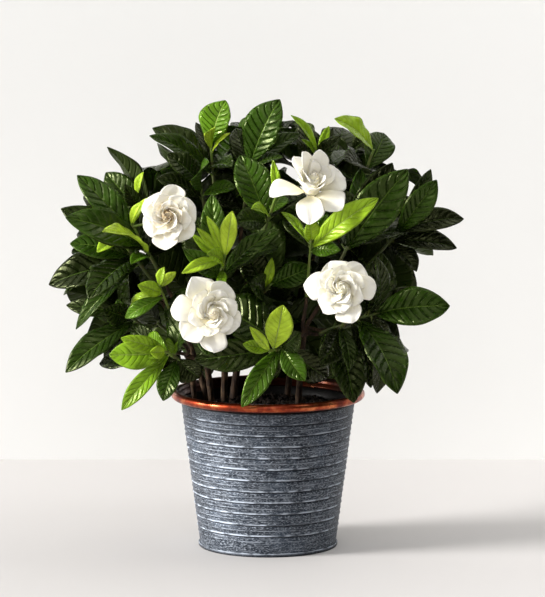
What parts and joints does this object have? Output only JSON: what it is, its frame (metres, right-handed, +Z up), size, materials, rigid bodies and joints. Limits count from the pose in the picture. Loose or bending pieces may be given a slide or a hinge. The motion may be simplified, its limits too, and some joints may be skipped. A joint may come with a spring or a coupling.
{
  "type": "potted gardenia",
  "caption": "Gardenia shrub with glossy leaves and white double blooms, growing in a ribbed zinc-finish metal pot with a rolled copper-coloured rim.",
  "frame": {"origin": "centre of the pot's flat underside, on the surface that the pot stands on", "axes": "+Z up along the pot's axis, -Y towards the front of the plant as pictured, +X to the viewer's right"},
  "size_m": [0.3613, 0.3034, 0.3952],
  "materials": {
    "zinc": "worn, lime-washed satin",
    "copper": "polished copper colour",
    "potting_mix": "moist crumbly peat",
    "bark": "fine rough bark",
    "leaf_dark": "waxy gloss",
    "leaf_light": "fresh satin",
    "petal": "velvety matt"
  },
  "bodies": {
    "root": {"bloom_lower_left": "petal", "bloom_lower_right": "petal", "bloom_upper_left": "petal", "bloom_upper_right": "petal", "pot_base_ring": "zinc", "pot_rim": "copper", "pot_wall": "zinc", "soil": "potting_mix", "spray_back_far_left": "leaf_dark", "spray_back_high_centre": "leaf_dark", "spray_back_high_left": "leaf_dark", "spray_back_high_right": "leaf_dark", "spray_back_low_left": "leaf_dark", "spray_back_low_mid_left": "leaf_dark", "spray_back_low_mid_right": "leaf_dark", "spray_back_low_right": "leaf_dark", "spray_back_mid_centre": "leaf_dark", "spray_back_mid_left": "leaf_dark", "spray_back_mid_right": "leaf_dark", "spray_deep_front": "leaf_dark", "spray_far_left": "leaf_dark", "spray_far_right": "leaf_dark", "spray_foot_centre": "leaf_dark", "spray_foot_left": "leaf_dark", "spray_high_front": "leaf_dark", "spray_high_left": "leaf_dark", "spray_high_right": "leaf_dark", "spray_inner_left": "leaf_dark", "spray_inner_low": "leaf_dark", "spray_inner_mid": "leaf_dark", "spray_low_left": "leaf_dark", "spray_low_right": "leaf_dark", "spray_mid_front": "leaf_dark", "spray_mid_left": "leaf_dark", "spray_mid_right": "leaf_dark", "spray_shoulder_left": "leaf_dark", "spray_shoulder_right": "leaf_dark", "spray_top_centre": "leaf_dark", "spray_top_left": "leaf_dark", "spray_top_right": "leaf_dark", "spray_upper_left": "leaf_dark", "stem_back_centre": "bark", "stem_back_left": "bark", "stem_back_right": "bark", "stem_centre": "bark", "stem_front_left": "bark", "stem_front_right": "bark", "stem_mid_left": "bark", "tip_centre_right": "leaf_light", "tip_far_left": "leaf_light", "tip_foot_centre": "leaf_light", "tip_foot_left": "leaf_light", "tip_high_front": "leaf_light", "tip_inner_left": "leaf_light", "tip_mid_front": "leaf_light", "tip_shoulder_left": "leaf_light", "tip_shoulder_right": "leaf_light", "tip_top_left": "leaf_light", "tip_top_right": "leaf_light", "tip_upper_left": "leaf_light"}
  },
  "joints": []
}
